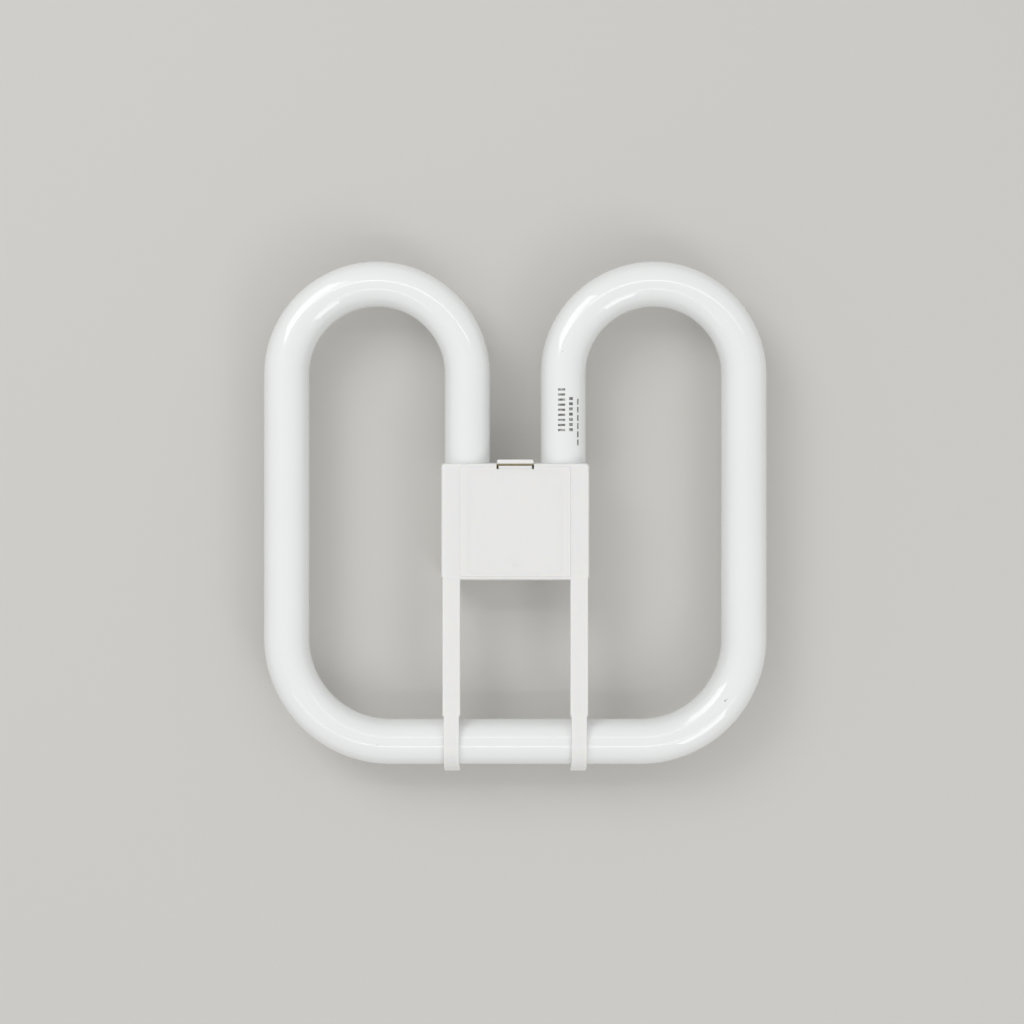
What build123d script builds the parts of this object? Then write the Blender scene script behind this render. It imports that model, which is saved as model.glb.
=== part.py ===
from build123d import *
import os
from math import cos, radians, sin, tan

# A square compact fluorescent lamp: one bent discharge tube held by a two-part moulded cap.
# The lamp lies on its back. X runs across it, Y towards the two humps of the tube, Z to its front.
# The origin is the middle of the cap's rear rim. All sizes are in millimetres.

# Discharge tube
tube_diameter = 18.5
square_side = 205.0
inner_leg_spacing = 39.0
corner_radius = 42.2
square_lift = 3.6
stem_y = 3.0
stem_shoulder_radius = 3.5
stem_root_radius = 0.8
tip_radius = 2.0
tip_length = 5.0

# Clearances between the glass and the mouldings
bore_clearance = 0.15
tube_side_gap = 0.35
tube_front_gap = 0.35
tube_rear_gap = 0.75
clip_clearance = 0.15

# Cap, both mouldings
cap_length = 48.0
cap_wall = 1.2
cap_corner_radius = 1.6
cap_inner_corner_radius = 0.6
parting_relief = 0.25
cover_draft = 3.3
base_draft = 1.2

# Front cover
plate_thickness = 2.0
plate_edge_radius = 0.8
panel_step = 0.4
panel_margin = 1.2
panel_corner_radius = 1.0
panel_edge_radius = 0.3

# Label field sunk in the panel, and the mark of the moulding gate in it
field_side_margin = 3.2
field_top_margin = 1.7
field_bottom_margin = 0.9
field_corner_radius = 2.8
field_depth = 0.2
gate_setback = 3.7
gate_diameter = 1.8
gate_depth = 0.25
gate_stub_diameter = 0.7
gate_stub_height = 0.15

# Arms and clips on the bottom run
arm_width = 7.1
arm_side_inset = 0.28
arm_step = 0.2
arm_depth = 8.0
arm_web = 1.7
arm_flange = 1.3
arm_edge_radius = 0.5
clip_width = 6.2
clip_edge_radius = 0.4
clip_inner_angle = 105.0
clip_outer_angle = 118.0
clip_lip_length = 3.4
clip_lip_thickness = 1.7
clip_lip_angle = 52.0

# Latch at the top edge
latch_bar_width = 14.7
latch_bar_thickness = 1.7
latch_bar_drop = 0.4
latch_bar_root_drop = 13.0
latch_bar_corner_radius = 0.7
latch_bar_foot_chamfer = 1.2
latch_gap = 0.8
latch_side_clearance = 0.2
latch_slot_width = 0.8
tongue_thickness = 1.3
tongue_tip_rise = 0.8
tongue_slot_length = 1.4
tongue_sink = 0.3
ledge_drop = 1.2
ledge_lead = 0.5
ledge_height = 1.6
ledge_clearance = 0.2
barb_width = 8.4
barb_height = 2.2
barb_reach = 1.9
barb_clearance = 0.35

# Hooks on the cover's lower wall, in windows of the base
hook_spacing = 24.0
hook_width = 6.0
hook_thickness = 1.2
hook_drop = 6.0
hook_clearance = 0.15
hook_barb_height = 2.0
hook_window_clearance = 0.4

# Locating tabs on the base's side walls
tab_y = -14.0
tab_width = 6.0
tab_thickness = 1.2
tab_root_drop = 9.0
tab_reach = 2.5
tab_clearance = 0.15

# Saddle ribs under and over the tube ends
saddle_ys = (18.0, 6.5)
saddle_thickness = 1.4
saddle_margin = 1.6
spine_thickness = 1.4

# Base housing
rear_wall = 1.8
rear_edge_radius = 1.0

# Well that takes the lamp holder
well_width = 27.0
well_length = 21.0
well_depth = 9.5
well_floor = 1.5
well_wall = 1.3
well_corner_radius = 1.5
well_mouth_chamfer = 0.6
key_width = 2.0
key_reach = 1.4
key_setback = 1.0
catch_width = 8.0
catch_height = 3.0
catch_setback = 3.0

# Contact pins
pin_spacing_x = 10.0
pin_spacing_y = 8.0
pin_diameter = 2.35
pin_length = 8.0
pin_tip_radius = 0.7
pin_neck_diameter = 1.9
pin_hole_clearance = 0.08
pin_collar_diameter = 4.0
pin_collar_thickness = 1.0
pin_tail_length = 1.8
pin_cup_diameter = 1.1
pin_cup_depth = 2.0

# Lead wires and sleeves
lead_diameter = 0.6
lead_offset = 4.5
lead_bend_radius = 2.0
inner_lead_run_y = -6.0
outer_lead_run_y = -12.0
outer_lead_drop = 4.5
sleeve_bore_clearance = 0.12
sleeve_wall = 0.4

# Cement beds between the tube ends and the base
bed_thickness = 1.4
bed_clearance = 0.1
bed_half_angle = 45.0

# Places worked out from the sizes
tube_radius = tube_diameter / 2
bore_radius = tube_radius + bore_clearance
leg_x = inner_leg_spacing / 2
outer_x = square_side / 2 - tube_radius
hump_radius = (outer_x - leg_x) / 2
hump_x = leg_x + hump_radius
hump_y = square_lift + outer_x - hump_radius
run_y = square_lift - outer_x
well_floor_top = well_depth + well_floor
tube_z = well_floor_top + tube_rear_gap + tube_radius
parting_z = tube_z
cap_width = inner_leg_spacing + tube_diameter + 2 * (tube_side_gap + cap_wall)
plate_back_z = tube_z + tube_radius + tube_front_gap
plate_front_z = plate_back_z + plate_thickness
panel_front_z = plate_front_z + panel_step
shoulder_y = stem_y - stem_shoulder_radius
pin_top_z = well_floor_top + pin_collar_thickness + pin_tail_length
cup_bottom_z = pin_top_z - pin_cup_depth
tongue_tip_z = parting_z + tongue_tip_rise
hook_tip_z = parting_z - hook_drop


def draft_lean(z):
    """How far the cap's walls lean in at a height, away from the parting line."""
    draft = cover_draft if z > parting_z else base_draft
    return abs(z - parting_z) * tan(radians(draft))


def wall_x(z):
    """Half width of the cap at a height."""
    return cap_width / 2 - draft_lean(z)


def wall_y(z):
    """Half length of the cap at a height."""
    return cap_length / 2 - draft_lean(z)


def cap_section(z, inset, corner):
    """Section of the cap at a height, moved in by an inset."""
    return Pos(0, 0, z) * RectangleRounded(2 * (wall_x(z) - inset), 2 * (wall_y(z) - inset), corner)


def drafted_block(low_z, high_z, inset, corner):
    """Block between two heights with the cap's leaning sides."""
    sections = [cap_section(low_z, inset, corner), cap_section(high_z, inset, corner)]
    return loft(sections, ruled=True)


def cap_block(far_z):
    """Block from the parting line to a height, with a fine relief round its edge at that line."""
    relief_z = parting_z + (parting_relief if far_z > parting_z else -parting_relief)
    edge = cap_section(parting_z, parting_relief, cap_corner_radius - parting_relief)
    rim = loft([edge, cap_section(relief_z, 0, cap_corner_radius)], ruled=True)
    return rim + drafted_block(relief_z, far_z, 0, cap_corner_radius)


def span_box(low, high):
    """Box between its lowest and highest corners."""
    size = Vector(*high) - Vector(*low)
    middle = (Vector(*high) + Vector(*low)) / 2
    return Pos(middle) * Box(size.X, size.Y, size.Z)


def upright(diameter, low_z, high_z):
    """Round bar along Z between two heights."""
    return extrude(Pos(0, 0, low_z) * Circle(diameter / 2), high_z - low_z)


def tube_bores():
    """Cylinders that clear the two tube ends and run out through the cap's top wall."""
    bore = Rot(90, 0, 0) * Cylinder(bore_radius, cap_length)
    return [Pos(side * leg_x, cap_length / 2, tube_z) * bore for side in (-1, 1)]


def saddle_ribs(low_z, high_z):
    """Cross ribs that hold the tube ends, before the bores are cut."""
    ribs = []
    for side in (-1, 1):
        near = side * (leg_x - bore_radius - saddle_margin)
        far = side * (wall_x(low_z if low_z < parting_z else high_z) - cap_wall / 2)
        for y in saddle_ys:
            low = (min(near, far), y - saddle_thickness / 2, low_z)
            high = (max(near, far), y + saddle_thickness / 2, high_z)
            ribs.append(span_box(low, high))
    return ribs


# Discharge tube

def tube_path():
    """Centreline of the glass, from the left stem over both humps to the right stem."""
    corner_x = outer_x - corner_radius
    corner_y = run_y + corner_radius
    edges = [
        Line((-leg_x, stem_y), (-leg_x, hump_y)),
        CenterArc((-hump_x, hump_y), hump_radius, 0, 180),
        Line((-outer_x, hump_y), (-outer_x, corner_y)),
        CenterArc((-corner_x, corner_y), corner_radius, 180, 90),
        Line((-corner_x, run_y), (corner_x, run_y)),
        CenterArc((corner_x, corner_y), corner_radius, 270, 90),
        Line((outer_x, corner_y), (outer_x, hump_y)),
        CenterArc((hump_x, hump_y), hump_radius, 0, 180),
        Line((leg_x, hump_y), (leg_x, stem_y)),
    ]
    return Pos(0, 0, tube_z) * Wire(edges)


def stem():
    """Closed end of the glass: a round shoulder, and the sealed exhaust tip in its middle."""
    flat_radius = tube_radius - stem_shoulder_radius
    tip_y = shoulder_y - tip_length
    outline = [
        Line((0, stem_y), (tube_radius, stem_y)),
        CenterArc((flat_radius, stem_y), stem_shoulder_radius, 0, -90),
        Line((flat_radius, shoulder_y), (tip_radius + stem_root_radius, shoulder_y)),
        CenterArc((tip_radius + stem_root_radius, shoulder_y - stem_root_radius), stem_root_radius, 90, 90),
        Line((tip_radius, shoulder_y - stem_root_radius), (tip_radius, tip_y)),
        CenterArc((0, tip_y), tip_radius, 0, -90),
        Line((0, tip_y - tip_radius), (0, stem_y)),
    ]
    return revolve(make_face(outline), Axis.Y)


def discharge_tube():
    path = tube_path()
    glass = sweep(Plane(origin=path @ 0, z_dir=path % 0) * Circle(tube_radius), path=path)
    for side in (-1, 1):
        glass += Pos(side * leg_x, 0, tube_z) * stem()
    return glass


# Front cover

def arm_place():
    """X of an arm's middle: its outer face lies just inside the edge of the plate."""
    return wall_x(plate_front_z) - arm_side_inset - arm_width / 2


def clip_profile():
    """Side view of a clip: a jaw round the bottom run, with a lip that leads the glass in."""
    front_radius = plate_front_z - arm_step - tube_z
    inner_radius = tube_radius + clip_clearance
    middle_radius = (inner_radius + front_radius) / 2
    bridge = Pos(front_radius / 2, front_radius - arm_depth / 2) * Rectangle(front_radius, arm_depth)
    profile = Circle(front_radius) + bridge - mouth_wedge(2 * front_radius)
    for turn, angle in ((-1, radians(clip_outer_angle)), (1, radians(clip_inner_angle))):
        root = Pos(turn * middle_radius * sin(angle), middle_radius * cos(angle))
        lean = Rot(0, 0, turn * clip_lip_angle - 90)
        profile += root * lean * Pos(clip_lip_length / 2, 0) * SlotCenterToCenter(
            clip_lip_length, clip_lip_thickness)
    return profile - Circle(inner_radius)


def mouth_wedge(reach):
    """Open side of the jaw, towards the lamp's back."""
    outer = radians(clip_outer_angle)
    inner = radians(clip_inner_angle)
    return make_face(Polyline(
        (0, 0),
        (-reach * sin(outer), reach * cos(outer)),
        (0, -2 * reach),
        (reach * sin(inner), reach * cos(inner)),
        close=True))


def clip():
    """One clip, round the bottom run."""
    side_view = Plane(origin=(-clip_width / 2, run_y, tube_z), x_dir=(0, 1, 0), z_dir=(1, 0, 0))
    body = extrude(side_view * clip_profile(), clip_width)
    outer_arcs = body.edges().filter_by(GeomType.CIRCLE).filter_by(
        lambda edge: edge.radius > bore_radius + clip_clearance and edge.center().Y < run_y)
    return fillet(outer_arcs, clip_edge_radius)


def arm():
    """One arm: a channel that is open to the back and runs from the cap to its clip."""
    top = plate_front_z - arm_step
    start_y = -wall_y(top) + cap_wall / 2
    end_y = run_y + top - tube_z
    beam = span_box((-arm_width / 2, end_y, top - arm_depth), (arm_width / 2, start_y, top))
    beam = fillet(beam.edges().filter_by(Axis.Y).group_by(Axis.Z)[-1], arm_edge_radius)
    channel = span_box(
        (arm_flange - arm_width / 2, end_y + arm_flange, top - arm_depth),
        (arm_width / 2 - arm_flange, -wall_y(parting_z), top - arm_web))
    return beam - channel + clip()


def tongue_face_y():
    """Outer face of the latch tongue, set back from the plate's edge."""
    return wall_y(plate_front_z) - latch_gap


def latch_tongue():
    """Springy tongue at the cover's top edge, with the barb that catches in the latch bar."""
    face_y = tongue_face_y()
    half = latch_bar_width / 2 + latch_side_clearance - latch_slot_width
    root_y = face_y - tongue_slot_length - cap_wall
    top = plate_front_z - tongue_sink
    root = span_box((-half, root_y, plate_back_z), (half, face_y, top))
    blade = span_box((-half, face_y - tongue_thickness, tongue_tip_z), (half, face_y, top))
    barb_top = tongue_tip_z + barb_height
    barb_outline = Polyline(
        (face_y, tongue_tip_z),
        (face_y + barb_reach, barb_top),
        (face_y, barb_top),
        close=True)
    side_view = Plane(origin=(-barb_width / 2, 0, 0), x_dir=(0, 1, 0), z_dir=(1, 0, 0))
    return root + blade + extrude(side_view * make_face(barb_outline), barb_width)


def latch_notch():
    """Gap in the cover's top edge, in which the tongue stands."""
    half = latch_bar_width / 2 + latch_side_clearance
    back = tongue_face_y() - tongue_slot_length
    return span_box((-half, back, parting_z), (half, cap_length, plate_front_z + plate_thickness))


def hook(x):
    """Hook on the cover's lower wall that reaches into the base."""
    outer_y = hook_clearance + cap_wall - cap_length / 2
    blade = span_box(
        (x - hook_width / 2, outer_y, hook_tip_z),
        (x + hook_width / 2, outer_y + hook_thickness, plate_back_z + cap_wall / 2))
    root = span_box(
        (x - hook_width / 2, outer_y - cap_wall / 2, parting_z),
        (x + hook_width / 2, outer_y + hook_thickness / 2, plate_back_z + cap_wall / 2))
    barb_outline = Polyline(
        (outer_y, hook_tip_z),
        (outer_y - cap_wall, hook_tip_z + hook_barb_height),
        (outer_y, hook_tip_z + hook_barb_height),
        close=True)
    side_view = Plane(origin=(x - hook_width / 2, 0, 0), x_dir=(0, 1, 0), z_dir=(1, 0, 0))
    return blade + root + extrude(side_view * make_face(barb_outline), hook_width)


def panel_size():
    """Width and length of the raised panel between the two side bands of the plate."""
    return 2 * arm_place() - arm_width, 2 * (wall_y(plate_front_z) - panel_margin)


def raised_panel():
    """Raised panel of the plate, before its label field is sunk."""
    outline = Pos(0, 0, plate_back_z) * RectangleRounded(*panel_size(), panel_corner_radius)
    panel = extrude(outline, panel_front_z - plate_back_z)
    return fillet(panel.faces().sort_by(Axis.Z)[-1].edges(), panel_edge_radius)


def label_field():
    """Shallow field with round corners that is sunk in the panel."""
    width, length = panel_size()
    middle_y = (field_bottom_margin - field_top_margin) / 2
    outline = Pos(0, middle_y, panel_front_z - field_depth) * RectangleRounded(
        width - 2 * field_side_margin,
        length - field_bottom_margin - field_top_margin,
        field_corner_radius)
    return extrude(outline, 2 * field_depth)


def gate_dimple():
    """Round dimple of the moulding gate, with the cut stub left standing in it."""
    place_y = field_bottom_margin + gate_setback - panel_size()[1] / 2
    low_z = panel_front_z - field_depth - gate_depth
    dimple = upright(gate_diameter, low_z, panel_front_z)
    return Pos(0, place_y, 0) * (dimple - upright(gate_stub_diameter, low_z, low_z + gate_stub_height))


def front_cover():
    outer = cap_block(plate_front_z)
    outer = fillet(outer.faces().sort_by(Axis.Z)[-1].edges(), plate_edge_radius)
    cover = outer - drafted_block(parting_z, plate_back_z, cap_wall, cap_inner_corner_radius)
    cover += raised_panel()
    cover -= label_field()
    cover -= gate_dimple()
    cover += saddle_ribs(parting_z, plate_back_z + cap_wall / 2)
    cover -= latch_notch()
    cover += latch_tongue()
    cover -= tube_bores()
    for side in (-1, 1):
        cover += Pos(side * arm_place(), 0, 0) * arm()
        cover += hook(side * hook_spacing / 2)
    return cover


# Base housing

def well_cavity():
    """Well in the back that takes the lamp holder, with its key left standing."""
    cavity = extrude(RectangleRounded(well_width, well_length, well_corner_radius), well_depth)
    mouth = RectangleRounded(
        well_width + 2 * well_mouth_chamfer,
        well_length + 2 * well_mouth_chamfer,
        well_corner_radius + well_mouth_chamfer)
    throat = Pos(0, 0, well_mouth_chamfer) * RectangleRounded(well_width, well_length, well_corner_radius)
    cavity += loft([mouth, throat], ruled=True)
    key = span_box(
        (-key_width / 2, well_length / 2 - key_reach, key_setback),
        (key_width / 2, well_length, well_depth))
    return cavity - key


def catch_windows():
    """Windows in the two ends of the well for the lamp holder's springs."""
    reach = well_width / 2 + 2 * well_wall
    return span_box(
        (-reach, -catch_width / 2, catch_setback),
        (reach, catch_width / 2, catch_setback + catch_height))


def latch_ledge():
    """Ledge of the latch bar, close to the tongue and sloped to lead the barb in."""
    inner_y = wall_y(plate_front_z)
    ledge_y = tongue_face_y() + ledge_clearance
    high_z = plate_front_z - ledge_drop
    low_z = high_z - ledge_height
    outline = Polyline(
        (inner_y, high_z),
        (ledge_y, high_z - ledge_lead),
        (ledge_y, low_z),
        (inner_y, low_z - ledge_lead),
        close=True)
    side_view = Plane(origin=(-latch_bar_width / 2, 0, 0), x_dir=(0, 1, 0), z_dir=(1, 0, 0))
    return extrude(side_view * make_face(outline), latch_bar_width)


def latch_bar():
    """Upright bar at the top edge, with the window that takes the tongue's barb."""
    inner_y = wall_y(plate_front_z)
    outer_y = inner_y + latch_bar_thickness
    half = latch_bar_width / 2
    root_z = parting_z - latch_bar_root_drop
    bar = span_box((-half, inner_y, root_z), (half, outer_y, plate_front_z - latch_bar_drop))
    foot = bar.edges().filter_by(Axis.X).group_by(Axis.Z)[0].sort_by(Axis.Y)[-1]
    bar = chamfer(foot, latch_bar_foot_chamfer)
    bar = fillet(bar.edges().filter_by(Axis.Z).group_by(Axis.Y)[-1], latch_bar_corner_radius)
    bar = fillet(bar.edges().group_by(Axis.Z)[-1], latch_bar_corner_radius / 2)
    window = span_box(
        (-barb_width / 2 - barb_clearance, inner_y - cap_wall, tongue_tip_z - barb_clearance),
        (barb_width / 2 + barb_clearance, outer_y + cap_wall, tongue_tip_z + barb_height + barb_clearance))
    return bar - window + latch_ledge()


def locating_tab(side):
    """Tab that stands up inside the cover's side wall."""
    inner_face = side * (cap_width / 2 - cap_wall)
    root = (inner_face + side * cap_wall / 2, inner_face - side * tab_thickness)
    stand = (inner_face - side * tab_clearance, inner_face - side * tab_thickness)
    low_y = tab_y - tab_width / 2
    high_y = tab_y + tab_width / 2
    lower = span_box((min(root), low_y, parting_z - tab_root_drop), (max(root), high_y, parting_z))
    upper = span_box((min(stand), low_y, parting_z), (max(stand), high_y, parting_z + tab_reach))
    return lower + upper


def hook_window(x):
    """Window in the base's lower wall for a hook's barb."""
    half = hook_width / 2 + hook_window_clearance
    return span_box(
        (x - half, -cap_length, hook_tip_z - hook_window_clearance),
        (x + half, cap_wall - cap_length / 2 + hook_clearance,
         hook_tip_z + hook_barb_height + hook_window_clearance))


def spine(side):
    """Low rib along the middle of a tube end, which carries the cement."""
    top = tube_z - tube_radius - bed_thickness - 2 * bed_clearance
    return span_box(
        (side * leg_x - spine_thickness / 2, min(saddle_ys), rear_wall / 2),
        (side * leg_x + spine_thickness / 2, max(saddle_ys), top))


def pin_places():
    """Places of the four pins, numbered round the well."""
    half_x = pin_spacing_x / 2
    half_y = pin_spacing_y / 2
    return [(-half_x, half_y), (-half_x, -half_y), (half_x, -half_y), (half_x, half_y)]


def base_housing():
    outer = cap_block(0)
    outer = fillet(outer.faces().sort_by(Axis.Z)[0].edges(), rear_edge_radius)
    base = outer - drafted_block(rear_wall, parting_z, cap_wall, cap_inner_corner_radius)
    base += span_box(
        (-well_width / 2 - well_wall, -well_length / 2 - well_wall, 0),
        (well_width / 2 + well_wall, well_length / 2 + well_wall, well_floor_top))
    base += saddle_ribs(rear_wall / 2, parting_z)
    base += latch_bar()
    for side in (-1, 1):
        base += spine(side)
        base += locating_tab(side)
        base -= hook_window(side * hook_spacing / 2)
    base -= tube_bores()
    base -= well_cavity()
    base -= catch_windows()
    for x, y in pin_places():
        base -= Pos(x, y, well_depth) * Cylinder(pin_neck_diameter / 2 + pin_hole_clearance, 4 * well_floor)
    return base


# Contact pins, leads, sleeves and cement

def contact_pin():
    """Pin with a round tip, a neck through the well's floor, a collar on it, and a cup for its lead."""
    shank = upright(pin_diameter, well_depth - pin_length, well_depth)
    shank = fillet(shank.edges().group_by(Axis.Z)[0], pin_tip_radius)
    neck = upright(pin_neck_diameter, well_depth, pin_top_z)
    collar = upright(pin_collar_diameter, well_floor_top, well_floor_top + pin_collar_thickness)
    return shank + neck + collar - upright(pin_cup_diameter, cup_bottom_z, pin_top_z)


def inner_lead_points(side):
    """Corners of the lead nearer the middle, from the glass to the upper pin."""
    x = side * (leg_x - lead_offset)
    pin_x = side * pin_spacing_x / 2
    pin_y = pin_spacing_y / 2
    return [
        (x, shoulder_y, tube_z),
        (x, inner_lead_run_y, tube_z),
        (pin_x, inner_lead_run_y, tube_z),
        (pin_x, pin_y, tube_z),
        (pin_x, pin_y, cup_bottom_z),
    ]


def outer_lead_points(side):
    """Corners of the lead farther from the middle, from the glass to the lower pin."""
    x = side * (leg_x + lead_offset)
    pin_x = side * pin_spacing_x / 2
    pin_y = -pin_spacing_y / 2
    return [
        (x, shoulder_y, tube_z),
        (x, outer_lead_run_y, tube_z),
        (pin_x, outer_lead_run_y, tube_z - outer_lead_drop),
        (pin_x, pin_y, tube_z - outer_lead_drop),
        (pin_x, pin_y, cup_bottom_z),
    ]


def lead_wire(points):
    """Round wire along its corners, each rounded by the bend radius."""
    path = FilletPolyline(*points, radius=lead_bend_radius)
    return sweep(Plane(origin=path @ 0, z_dir=path % 0) * Circle(lead_diameter / 2), path=path)


def lead_sleeve(points):
    """Sleeve on the straight middle of a lead's run across the cap."""
    start = Vector(*points[1])
    end = Vector(*points[2])
    along = (end - start).normalized()
    length = (end - start).length - 2 * lead_bend_radius
    plane = Plane(origin=start + along * lead_bend_radius, z_dir=along)
    bore = lead_diameter / 2 + sleeve_bore_clearance
    return extrude(plane * (Circle(bore + sleeve_wall) - Circle(bore)), length)


def tube_bed(side):
    """Cement under one tube end, between its two saddle ribs."""
    start_y = min(saddle_ys) + saddle_thickness / 2 + bed_clearance
    end_y = max(saddle_ys) - saddle_thickness / 2 - bed_clearance
    inner = tube_radius + bed_clearance
    reach = 3 * tube_radius * tan(radians(bed_half_angle))
    wedge = make_face(Polyline((0, 0), (-reach, -3 * tube_radius), (reach, -3 * tube_radius), close=True))
    section = (Circle(inner + bed_thickness) - Circle(inner)) & wedge
    plane = Plane(origin=(side * leg_x, end_y, tube_z), x_dir=(1, 0, 0), z_dir=(0, -1, 0))
    return extrude(plane * section, end_y - start_y)


def build_parts():
    """Every piece of the lamp by its node's name."""
    parts = {
        "discharge_tube": discharge_tube(),
        "front_cover": front_cover(),
        "base_housing": base_housing(),
    }
    routes = [inner_lead_points(-1), outer_lead_points(-1), outer_lead_points(1), inner_lead_points(1)]
    for number, (place, points) in enumerate(zip(pin_places(), routes), start=1):
        parts[f"contact_pin_{number}"] = Pos(*place, 0) * contact_pin()
        parts[f"lead_wire_{number}"] = lead_wire(points)
        parts[f"lead_sleeve_{number}"] = lead_sleeve(points)
    parts["tube_bed_left"] = tube_bed(-1)
    parts["tube_bed_right"] = tube_bed(1)
    return parts


os.makedirs("parts", exist_ok=True)
for node, shape in build_parts().items():
    export_step(shape, f"parts/{node}.step")
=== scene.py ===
import math

import bmesh
import bpy
from mathutils import Matrix, Vector


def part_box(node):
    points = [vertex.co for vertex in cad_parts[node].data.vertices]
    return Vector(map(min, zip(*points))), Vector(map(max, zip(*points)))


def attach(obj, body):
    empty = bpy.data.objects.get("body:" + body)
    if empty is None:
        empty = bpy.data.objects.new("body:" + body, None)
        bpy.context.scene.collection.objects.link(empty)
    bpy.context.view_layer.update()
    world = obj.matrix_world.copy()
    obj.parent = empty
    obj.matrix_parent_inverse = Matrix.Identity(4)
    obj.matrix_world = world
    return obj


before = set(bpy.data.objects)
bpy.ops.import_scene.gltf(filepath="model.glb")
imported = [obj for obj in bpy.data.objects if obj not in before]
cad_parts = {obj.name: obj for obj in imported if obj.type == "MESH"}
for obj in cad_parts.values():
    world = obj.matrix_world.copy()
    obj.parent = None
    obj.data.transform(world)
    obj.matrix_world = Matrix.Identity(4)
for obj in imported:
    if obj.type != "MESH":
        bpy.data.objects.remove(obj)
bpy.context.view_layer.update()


# Camera
# The lamp lies on its back and is seen from straight above, with its two humps at the top.
# The lens frames it as the photograph does, from a little under a metre.
PICTURE_SIDE_PX = 1024
METRES_PER_PX = 0.000408
SQUARE_CENTRE_PX = (515.25, 512.7)
CAMERA_DISTANCE = 0.9
SENSOR_WIDTH_MM = 36.0

tube_low, tube_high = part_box("discharge_tube")
tube_axis_z = (tube_low.z + tube_high.z) / 2
tube_radius = (tube_high.z - tube_low.z) / 2
square_side = tube_high.x - tube_low.x
square_centre_y = tube_high.y - square_side / 2


def seen_at(x_px, y_px):
    """X and Y, on the level of the tube's axis, of a point given by its pixel."""
    return (
        (x_px - SQUARE_CENTRE_PX[0]) * METRES_PER_PX,
        square_centre_y + (SQUARE_CENTRE_PX[1] - y_px) * METRES_PER_PX)


camera_data = bpy.data.cameras.new("camera")
camera_data.sensor_width = SENSOR_WIDTH_MM
camera_data.lens = SENSOR_WIDTH_MM * CAMERA_DISTANCE / (PICTURE_SIDE_PX * METRES_PER_PX)
camera = bpy.data.objects.new("camera", camera_data)
picture_centre = seen_at(PICTURE_SIDE_PX / 2, PICTURE_SIDE_PX / 2)
camera.location = (*picture_centre, tube_axis_z + CAMERA_DISTANCE)
bpy.context.scene.collection.objects.link(camera)
bpy.context.scene.camera = camera


# Floor
# One plain pale sheet under the lamp, a hair below the rim that the cap stands on. It takes the
# soft shadow of the glass and fades out far from the lamp. It is open where the cap covers it and
# clear from below, so that the lamp's back is lit and can be seen.
FLOOR_REACH = 6.0
FLOOR_FADE_START = 0.7
FLOOR_FADE_END = 3.5
FLOOR_DROP = 0.00002
FLOOR_UNDER_CAP = 0.00145
FLOOR_COLOUR = (0.59, 0.577, 0.55)
FLOOR_ROUGHNESS = 0.9


class Signal:
    """One output socket in a tree of nodes. Arithmetic on it adds Math nodes to that tree."""

    def __init__(self, socket):
        self.socket = socket

    def node(self, kind, settings=None, inputs=None, output=0):
        """Adds a node of any kind: first its settings, then the values or links of its sockets."""
        tree = self.socket.id_data
        made = tree.nodes.new(kind)
        for name, value in (settings or {}).items():
            setattr(made, name, value)
        for name, value in (inputs or {}).items():
            if isinstance(value, Signal):
                tree.links.new(value.socket, made.inputs[name])
            else:
                made.inputs[name].default_value = value
        return Signal(made.outputs[output])

    def math(self, operation, *values):
        """A Math node on these values."""
        return self.node("ShaderNodeMath", {"operation": operation}, dict(enumerate(values)))

    def __add__(self, other):
        return self.math("ADD", self, other)

    def __radd__(self, other):
        return self.math("ADD", other, self)

    def __sub__(self, other):
        return self.math("SUBTRACT", self, other)

    def __rsub__(self, other):
        return self.math("SUBTRACT", other, self)

    def __mul__(self, other):
        return self.math("MULTIPLY", self, other)

    def __rmul__(self, other):
        return self.math("MULTIPLY", other, self)

    def __gt__(self, other):
        return self.math("GREATER_THAN", self, other)

    def __lt__(self, other):
        return self.math("LESS_THAN", self, other)


def new_piece(name, builder):
    """Makes an object from a bmesh, with its place in its mesh."""
    mesh = bpy.data.meshes.new(name)
    builder.to_mesh(mesh)
    builder.free()
    piece = bpy.data.objects.new(name, mesh)
    bpy.context.scene.collection.objects.link(piece)
    return piece


def new_finish(name, colour, roughness, **uniform):
    """A Principled material, its shader, and the Object coordinates that its patterns read."""
    material = bpy.data.materials.new(name)
    material.use_nodes = True
    shader = material.node_tree.nodes["Principled BSDF"]
    shader.inputs["Base Color"].default_value = (*colour, 1)
    shader.inputs["Roughness"].default_value = roughness
    for socket_name, value in uniform.items():
        shader.inputs[socket_name.replace("_", " ")].default_value = value
    coordinates = material.node_tree.nodes.new("ShaderNodeTexCoord")
    return material, shader, Signal(coordinates.outputs["Object"])


def feed(signal, taker, socket_name):
    """Links a signal to a named socket of a shader, a background or a material's output."""
    signal.socket.id_data.links.new(signal.socket, taker.inputs[socket_name])


def dress(material, *pieces):
    """Gives a material to all faces of the pieces."""
    for piece in pieces:
        piece.data.materials.clear()
        piece.data.materials.append(material)


floor_builder = bmesh.new()
bmesh.ops.create_grid(
    floor_builder, x_segments=1, y_segments=1, size=FLOOR_REACH,
    matrix=Matrix.Translation((0, 0, -FLOOR_DROP)))
cap_low, cap_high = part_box("base_housing")
open_x = cap_high.x - FLOOR_UNDER_CAP
open_y = -cap_low.y - FLOOR_UNDER_CAP
for cut, across in ((open_x, (1, 0, 0)), (-open_x, (1, 0, 0)), (open_y, (0, 1, 0)), (-open_y, (0, 1, 0))):
    bmesh.ops.bisect_plane(
        floor_builder, geom=[*floor_builder.verts, *floor_builder.edges, *floor_builder.faces],
        plane_co=cut * Vector(across), plane_no=across)
under_cap = min(floor_builder.faces, key=lambda face: face.calc_center_median().length)
bmesh.ops.delete(floor_builder, geom=[under_cap], context="FACES_ONLY")
floor = new_piece("floor", floor_builder)

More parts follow.
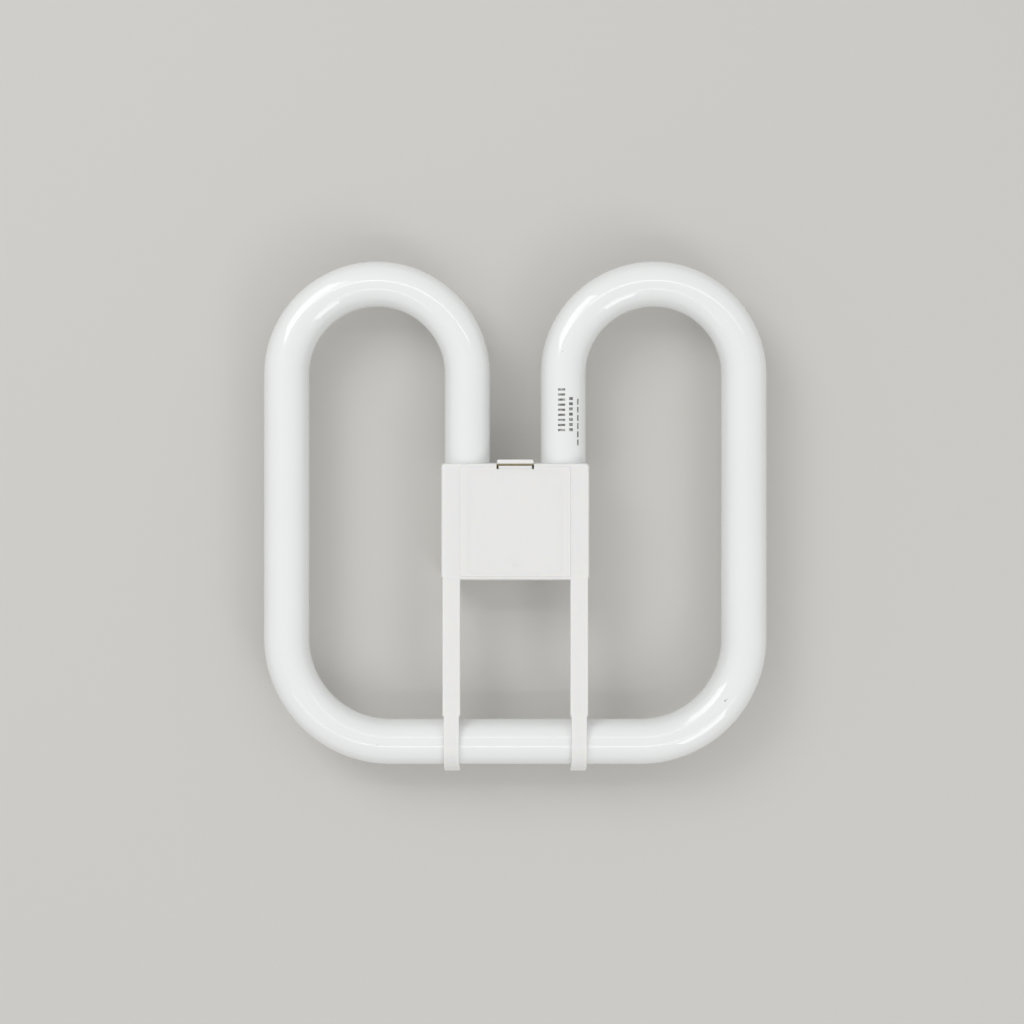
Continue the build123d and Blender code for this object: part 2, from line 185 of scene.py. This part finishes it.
floor_finish, floor_shader, floor_place = new_finish("floor", FLOOR_COLOUR, FLOOR_ROUGHNESS)
distance = floor_place.node(
    "ShaderNodeVectorMath", {"operation": "LENGTH"}, {0: floor_place}, output="Value")
far_off = floor_place.node("ShaderNodeMapRange", {"interpolation_type": "SMOOTHSTEP"}, {
    "Value": distance, "From Min": FLOOR_FADE_START, "From Max": FLOOR_FADE_END})
from_below = floor_place.node("ShaderNodeNewGeometry", output="Backfacing")
clear_floor = floor_place.node("ShaderNodeMixShader", {}, {
    0: far_off.math("MAXIMUM", far_off, from_below),
    1: Signal(floor_shader.outputs[0]),
    2: floor_place.node("ShaderNodeBsdfTransparent")})
feed(clear_floor, floor_finish.node_tree.nodes["Material Output"], "Surface")
dress(floor_finish, floor)


# Light
# Two soft square lamps above opposite corners, and two long strips across, draw thin shines
# along the glass. An even white room lights the rest, and shows white behind the floor.
LAMPS = (
    {"name": "upper_left_lamp", "place": (-0.75, 0.75, 1.15), "width": 0.7, "depth": 0.7, "watts": 5.0},
    {"name": "lower_right_lamp", "place": (0.7, -0.95, 1.15), "width": 0.5, "depth": 0.5, "watts": 2.8},
    {"name": "upper_strip", "place": (0.0, 0.5, 1.25), "width": 1.8, "depth": 0.07, "watts": 1.3},
    {"name": "lower_strip", "place": (0.0, -0.58, 1.2), "width": 1.8, "depth": 0.07, "watts": 1.3},
)
ROOM_LEVEL = 0.70
ROOM_COLOUR = (1, 1, 1, 1)

for lamp in LAMPS:
    lamp_data = bpy.data.lights.new(lamp["name"], "AREA")
    lamp_data.shape = "RECTANGLE"
    lamp_data.size = lamp["width"]
    lamp_data.size_y = lamp["depth"]
    lamp_data.energy = lamp["watts"]
    lamp_object = bpy.data.objects.new(lamp["name"], lamp_data)
    lamp_object.location = lamp["place"]
    lamp_object.rotation_euler = Vector(lamp["place"]).to_track_quat("Z", "Y").to_euler()
    bpy.context.scene.collection.objects.link(lamp_object)

world = bpy.data.worlds.new("room")
bpy.context.scene.world = world
world.use_nodes = True
room = world.node_tree.nodes["Background"]
room.inputs["Color"].default_value = ROOM_COLOUR
ray = world.node_tree.nodes.new("ShaderNodeLightPath").outputs
seen = Signal(ray["Is Camera Ray"]) + Signal(ray["Is Glossy Ray"]) + Signal(ray["Is Transmission Ray"])
feed(seen.math("MINIMUM", seen, 1.0) * (1 - ROOM_LEVEL) + ROOM_LEVEL, room, "Strength")
bpy.context.scene.view_settings.view_transform = "Standard"


# Discharge tube
# One clear glass tube, drawn, bent to a square with two humps, and coated white on its inside.
# The glass keeps its own polish over the matt coating, with faint draw lines along it and a few
# specks caught in it.
GLASS_WHITE = (0.800, 0.813, 0.807)
GLASS_THIN = (0.770, 0.784, 0.778)
COATING_ROUGHNESS = 0.5
COATING_CLOUDS_PER_METRE = 38.0
POLISH_ROUGHNESS = 0.03
GLASS_IOR = 1.5
GLASS_RELIEF = 0.0002
WAVE_SHARE = 0.8
WAVES_PER_METRE = 30.0
DRAW_LINE_SHARE = 0.025
DRAW_LINES_PER_RADIAN = 9.0
DRAW_LINE_SWAY = 0.25
SWAYS_PER_METRE = 9.0
SPECK_COLOUR = (0.22, 0.20, 0.17)
SPECKS = (
    {"at_px": (723.0, 698.9), "radius": 0.00038, "strength": 0.75},
    {"at_px": (724.8, 697.5), "radius": 0.00028, "strength": 0.45},
    {"at_px": (562.0, 353.0), "radius": 0.00028, "strength": 0.4},
    {"at_px": (378.7, 742.3), "radius": 0.00042, "strength": 0.16},
)


def noise(place, scale, detail=2.0):
    """Noise from 0 to 1 at so many lumps a metre."""
    return place.node("ShaderNodeTexNoise", {}, {"Vector": place, "Scale": scale, "Detail": detail})


def blend(factor, first, second):
    """A colour between two colours or colour signals, which are a Mix node's inputs 6 and 7."""
    colours = [value if isinstance(value, Signal) else (*value, 1) for value in (first, second)]
    return factor.node(
        "ShaderNodeMix", {"data_type": "RGBA"}, {0: factor, 6: colours[0], 7: colours[1]}, output=2)


def emboss(height, depth, shader):
    """A bump in a shader's normal: a height signal from 0 to 1, and its depth in metres."""
    feed(height.node("ShaderNodeBump", {}, {"Height": height, "Distance": depth}), shader, "Normal")


glass, glass_shader, glass_place = new_finish(
    "coated_glass", GLASS_WHITE, COATING_ROUGHNESS,
    Coat_Weight=1.0, Coat_Roughness=POLISH_ROUGHNESS, Coat_IOR=GLASS_IOR)
coating = blend(noise(glass_place, COATING_CLOUDS_PER_METRE, detail=4.0), GLASS_WHITE, GLASS_THIN)
glass_z = glass_place.node("ShaderNodeSeparateXYZ", {}, {0: glass_place}, output="Z")
flat_place = glass_place.node("ShaderNodeMapping", {}, {"Vector": glass_place, "Scale": (1, 1, 0)})
for speck in SPECKS:
    away = flat_place.node("ShaderNodeVectorMath", {"operation": "DISTANCE"}, {
        0: flat_place, 1: (*seen_at(*speck["at_px"]), 0)}, output="Value")
    mask = (away < speck["radius"]) * (glass_z > tube_axis_z) * speck["strength"]
    coating = blend(mask, coating, SPECK_COLOUR)
feed(coating, glass_shader, "Base Color")

height = (glass_z - tube_axis_z) * (1 / tube_radius)
sway = noise(glass_place, SWAYS_PER_METRE, detail=0.0)
turn = height.math("ARCCOSINE", height) + DRAW_LINE_SWAY * sway
draw_lines = turn.node(
    "ShaderNodeTexNoise", {"noise_dimensions": "1D"}, {"W": turn, "Scale": DRAW_LINES_PER_RADIAN})
waves = noise(glass_place, WAVES_PER_METRE, detail=1.0)
emboss(WAVE_SHARE * waves + DRAW_LINE_SHARE * draw_lines, GLASS_RELIEF, glass_shader)
dress(glass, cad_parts["discharge_tube"])


# Printed marks
# Rows of plain strokes and dashes of dark ink, stamped on the glass beside the cap.
# Each one is a film that follows the round of the tube, a little worn in spots.
INK_COLOUR = (0.13, 0.125, 0.12)
INK_WORN = (0.42, 0.415, 0.40)
INK_ROUGHNESS = 0.55
INK_SPOTS_PER_METRE = 700.0
INK_WEAR_START = 0.45
INK_WEAR_END = 0.68
INK_FILM = 0.00002
LEG_AXIS_X = 0.0195
MARK_ROWS = (
    {"turn": -5.0, "start_px": 432, "height": 0.0029, "length": 0.0009, "pitch": 0.00205, "count": 9},
    {"turn": 19.0, "start_px": 432, "height": 0.0016, "length": 0.0012, "pitch": 0.0021, "count": 7},
    {"turn": 39.0, "start_px": 446, "height": 0.0007, "length": 0.0024, "pitch": 0.0033, "count": 6},
)
STROKE_STEPS = 8

ink, ink_shader, ink_place = new_finish("ink", INK_COLOUR, INK_ROUGHNESS)
worn = ink_place.node("ShaderNodeMapRange", {}, {
    "Value": noise(ink_place, INK_SPOTS_PER_METRE, detail=4.0),
    "From Min": INK_WEAR_START, "From Max": INK_WEAR_END})
feed(blend(worn, INK_COLOUR, INK_WORN), ink_shader, "Base Color")

marks_builder = bmesh.new()
leg_axis = (LEG_AXIS_X, 0, tube_axis_z)
for row in MARK_ROWS:
    half_turn = row["height"] / tube_radius / 2
    for number in range(row["count"]):
        start_y = seen_at(0, row["start_px"])[1] + number * row["pitch"]
        end_y = start_y + row["length"]
        corners = [
            marks_builder.verts.new((LEG_AXIS_X, corner_y, tube_axis_z + radius))
            for corner_y, radius in (
                (start_y, tube_radius), (end_y, tube_radius),
                (end_y, tube_radius + INK_FILM), (start_y, tube_radius + INK_FILM))]
        end_face = marks_builder.faces.new(corners)
        bmesh.ops.rotate(
            marks_builder, verts=corners, cent=leg_axis,
            matrix=Matrix.Rotation(math.radians(row["turn"]) - half_turn, 3, "Y"))
        bmesh.ops.spin(
            marks_builder, geom=[*corners, *end_face.edges, end_face], cent=leg_axis, axis=(0, 1, 0),
            angle=2 * half_turn, steps=STROKE_STEPS, use_merge=False, use_duplicate=False)
bmesh.ops.recalc_face_normals(marks_builder, faces=marks_builder.faces)
marks = new_piece("printed_marks", marks_builder)
dress(ink, marks)
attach(marks, "root")


# Cap
# The front cover with its two arms, and the base housing behind it: two mouldings of one white
# plastic, a little warm, with a fine satin grain from the mould. Light passes through it a little.
# In the gap of the latch its colour holds a painted yellow shade.
PLASTIC_WHITE = (0.792, 0.789, 0.779)
PLASTIC_CREAM = (0.774, 0.769, 0.753)
PLASTIC_CLOUDS_PER_METRE = 55.0
PLASTIC_PAINTED_GAP_SHADE = (0.60, 0.54, 0.36)
GAP_LOW = (-0.0073, 0.0208, 0.0200)
GAP_HIGH = (0.0073, 0.0234, 0.0320)
SATIN_ROUGHNESS = 0.4
SATIN_LEAST = 0.36
SATIN_SPREAD = 0.12
SATIN_SPOTS_PER_METRE = 160.0
MOULD_GRAINS_PER_METRE = 4200.0
MOULD_GRAIN_DEPTH = 0.00001
LIGHT_SHARE_THROUGH = 0.45
LIGHT_DEPTH = 0.003
LIGHT_DEPTH_BY_COLOUR = (1.0, 0.8, 0.5)


def within(place, low, high):
    """A mask that is 1 inside a box of Object coordinates."""
    mask = 1.0
    for axis, start, end in zip("XYZ", low, high):
        value = place.node("ShaderNodeSeparateXYZ", {}, {0: place}, output=axis)
        mask = mask * (value > start) * (value < end)
    return mask


plastic, plastic_shader, plastic_place = new_finish(
    "white_plastic", PLASTIC_WHITE, SATIN_ROUGHNESS, Subsurface_Weight=LIGHT_SHARE_THROUGH,
    Subsurface_Scale=LIGHT_DEPTH, Subsurface_Radius=LIGHT_DEPTH_BY_COLOUR)
clouds = noise(plastic_place, PLASTIC_CLOUDS_PER_METRE, detail=5.0)
clouded = blend(clouds, PLASTIC_WHITE, PLASTIC_CREAM)
# Painted shade: inside the box of the latch gap the colour turns a darker yellow, standing in for the
# shade there and the light through the plastic.
painted_gap_shade = within(plastic_place, GAP_LOW, GAP_HIGH)
feed(blend(painted_gap_shade, clouded, PLASTIC_PAINTED_GAP_SHADE), plastic_shader, "Base Color")
satin = SATIN_LEAST + SATIN_SPREAD * noise(plastic_place, SATIN_SPOTS_PER_METRE, detail=4.0)
feed(satin, plastic_shader, "Roughness")
emboss(noise(plastic_place, MOULD_GRAINS_PER_METRE), MOULD_GRAIN_DEPTH, plastic_shader)
dress(plastic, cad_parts["front_cover"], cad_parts["base_housing"])


# Contact pins
# Four turned brass pins with a bright nickel skin, riveted in the floor of the well.
# The lathe leaves fine rings round them.
PIN_NICKEL = (0.75, 0.71, 0.63)
PIN_ROUGHNESS = 0.26
PIN_ROUGHNESS_LEAST = 0.18
PIN_ROUGHNESS_SPREAD = 0.2
RINGS_PER_METRE = 9000.0
RING_STRETCH = (0.03, 0.03, 1)
RING_DEPTH = 0.000006


def nodes_named(start):
    """The CAD pieces whose names start so."""
    return [piece for name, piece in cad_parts.items() if name.startswith(start)]


nickel, nickel_shader, nickel_place = new_finish("plated_pin", PIN_NICKEL, PIN_ROUGHNESS, Metallic=1.0)
drawn_out = nickel_place.node("ShaderNodeMapping", {}, {"Vector": nickel_place, "Scale": RING_STRETCH})
rings = noise(drawn_out, RINGS_PER_METRE)
feed(PIN_ROUGHNESS_LEAST + PIN_ROUGHNESS_SPREAD * rings, nickel_shader, "Roughness")
emboss(rings, RING_DEPTH, nickel_shader)
dress(nickel, *nodes_named("contact_pin"))


# Lead wires
# Four tinned wires inside the cap, one to each pin: two come out of each end of the glass.
# They are left as drawn, with a dull and uneven shine.
WIRE_TIN = (0.58, 0.57, 0.55)
WIRE_ROUGHNESS = 0.32
WIRE_ROUGHNESS_LEAST = 0.26
WIRE_ROUGHNESS_SPREAD = 0.16
WIRE_SPOTS_PER_METRE = 2500.0

tin, tin_shader, tin_place = new_finish("lead_metal", WIRE_TIN, WIRE_ROUGHNESS, Metallic=1.0)
wire_spots = noise(tin_place, WIRE_SPOTS_PER_METRE)
feed(WIRE_ROUGHNESS_LEAST + WIRE_ROUGHNESS_SPREAD * wire_spots, tin_shader, "Roughness")
dress(tin, *nodes_named("lead_wire"))


# Lead sleeves
# A woven sleeve of glass yarn slipped over each lead, which keeps the leads apart.
# It isn't glazed, so it has no shine.
SLEEVE_COLOUR = (0.75, 0.73, 0.66)
SLEEVE_ROUGHNESS = 0.75
SLEEVE_KNOTS_PER_METRE = 6000.0
SLEEVE_WEAVE_DEPTH = 0.00003

weave, weave_shader, weave_place = new_finish("sleeve", SLEEVE_COLOUR, SLEEVE_ROUGHNESS)
emboss(noise(weave_place, SLEEVE_KNOTS_PER_METRE, detail=1.0), SLEEVE_WEAVE_DEPTH, weave_shader)
dress(weave, *nodes_named("lead_sleeve"))


# Cement
# The two beds of white cement that hold the ends of the glass on their saddles in the base,
# cast in place and left rough.
CEMENT_COLOUR = (0.78, 0.78, 0.76)
CEMENT_PALE = (0.79, 0.79, 0.77)
CEMENT_DARK = (0.69, 0.68, 0.64)
CEMENT_ROUGHNESS = 0.9
CEMENT_SPOTS_PER_METRE = 900.0
CEMENT_GRAINS_PER_METRE = 2200.0
CEMENT_GRAIN_DEPTH = 0.00006

cement, cement_shader, cement_place = new_finish("cement", CEMENT_COLOUR, CEMENT_ROUGHNESS)
spots = noise(cement_place, CEMENT_SPOTS_PER_METRE, detail=4.0)
feed(blend(spots, CEMENT_PALE, CEMENT_DARK), cement_shader, "Base Color")
grains = noise(cement_place, CEMENT_GRAINS_PER_METRE, detail=4.0)
emboss(grains, CEMENT_GRAIN_DEPTH, cement_shader)
dress(cement, *nodes_named("tube_bed"))
